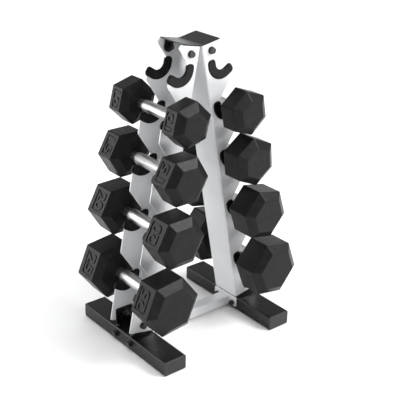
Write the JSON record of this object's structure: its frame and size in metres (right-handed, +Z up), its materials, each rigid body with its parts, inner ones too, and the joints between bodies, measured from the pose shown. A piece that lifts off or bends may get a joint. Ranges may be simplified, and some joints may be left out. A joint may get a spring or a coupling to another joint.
{
  "type": "dumbbell rack",
  "caption": "A-frame rack of two hooked channel legs on tube feet, joined by a cross beam and a saddle plate, with rubber hexagonal dumbbells resting in plastic-lined hooks.",
  "frame": {"origin": "on the floor under the middle of the rack", "axes": "+Z up, +X from the left foot to the right foot, +Y along the feet and the handles, away from the viewer of the picture"},
  "size_m": [0.445, 0.33, 0.7117],
  "materials": {
    "silver_paint": "satin light grey powder coat",
    "black_paint": "fine textured black powder coat",
    "trim_plastic": "semi-gloss black moulding",
    "cap_plastic": "matt black moulding",
    "pad_rubber": "matt",
    "black_fasteners": "black oxide",
    "chromed_steel": "bright chrome plate",
    "head_rubber": "satin moulded rubber",
    "core_iron": "as cast, hidden"
  },
  "bodies": {
    "rack": {"top_saddle": "black_paint", "cross_beam": "silver_paint", "floor_pads": "pad_rubber", "saddle_bolts": "black_fasteners", "saddle_nuts": "black_fasteners", "leg_bolts": "black_fasteners", "leg_nuts": "black_fasteners", "beam_bolts": "black_fasteners", "beam_nuts": "black_fasteners", "bracket_screws": "black_fasteners", "left_leg": "silver_paint", "left_near_trims": "trim_plastic", "left_far_trims": "trim_plastic", "left_foot": "black_paint", "left_foot_caps": "cap_plastic", "left_foot_bracket": "black_paint", "left_beam_plate": "silver_paint", "right_leg": "silver_paint", "right_near_trims": "trim_plastic", "right_far_trims": "trim_plastic", "right_foot": "black_paint", "right_foot_caps": "cap_plastic", "right_foot_bracket": "black_paint", "right_beam_plate": "silver_paint"},
    "left_10": {"left_10_handle": "chromed_steel", "left_10_near_rubber": "head_rubber", "left_10_far_rubber": "head_rubber", "left_10_cores": "core_iron"},
    "left_15": {"left_15_handle": "chromed_steel", "left_15_near_rubber": "head_rubber", "left_15_far_rubber": "head_rubber", "left_15_cores": "core_iron"},
    "left_20": {"left_20_handle": "chromed_steel", "left_20_near_rubber": "head_rubber", "left_20_far_rubber": "head_rubber", "left_20_cores": "core_iron"},
    "left_25": {"left_25_handle": "chromed_steel", "left_25_near_rubber": "head_rubber", "left_25_far_rubber": "head_rubber", "left_25_cores": "core_iron"},
    "right_10": {"right_10_handle": "chromed_steel", "right_10_near_rubber": "head_rubber", "right_10_far_rubber": "head_rubber", "right_10_cores": "core_iron"},
    "right_15": {"right_15_handle": "chromed_steel", "right_15_near_rubber": "head_rubber", "right_15_far_rubber": "head_rubber", "right_15_cores": "core_iron"},
    "right_20": {"right_20_handle": "chromed_steel", "right_20_near_rubber": "head_rubber", "right_20_far_rubber": "head_rubber", "right_20_cores": "core_iron"},
    "right_25": {"right_25_handle": "chromed_steel", "right_25_near_rubber": "head_rubber", "right_25_far_rubber": "head_rubber", "right_25_cores": "core_iron"}
  },
  "joints": [
    {"name": "left_10_lift_out", "type": "slide", "parent": "rack", "child": "left_10", "axis": [-0.8415, 0, 0.5402], "range_m": [0, 0.16]},
    {"name": "left_15_lift_out", "type": "slide", "parent": "rack", "child": "left_15", "axis": [-0.8415, 0, 0.5402], "range_m": [0, 0.16]},
    {"name": "left_20_lift_out", "type": "slide", "parent": "rack", "child": "left_20", "axis": [-0.8415, 0, 0.5402], "range_m": [0, 0.16]},
    {"name": "left_25_lift_out", "type": "slide", "parent": "rack", "child": "left_25", "axis": [-0.8415, 0, 0.5402], "range_m": [0, 0.16]},
    {"name": "right_10_lift_out", "type": "slide", "parent": "rack", "child": "right_10", "axis": [0.8415, 0, 0.5402], "range_m": [0, 0.16]},
    {"name": "right_15_lift_out", "type": "slide", "parent": "rack", "child": "right_15", "axis": [0.8415, 0, 0.5402], "range_m": [0, 0.16]},
    {"name": "right_20_lift_out", "type": "slide", "parent": "rack", "child": "right_20", "axis": [0.8415, 0, 0.5402], "range_m": [0, 0.16]},
    {"name": "right_25_lift_out", "type": "slide", "parent": "rack", "child": "right_25", "axis": [0.8415, 0, 0.5402], "range_m": [0, 0.16]}
  ]
}
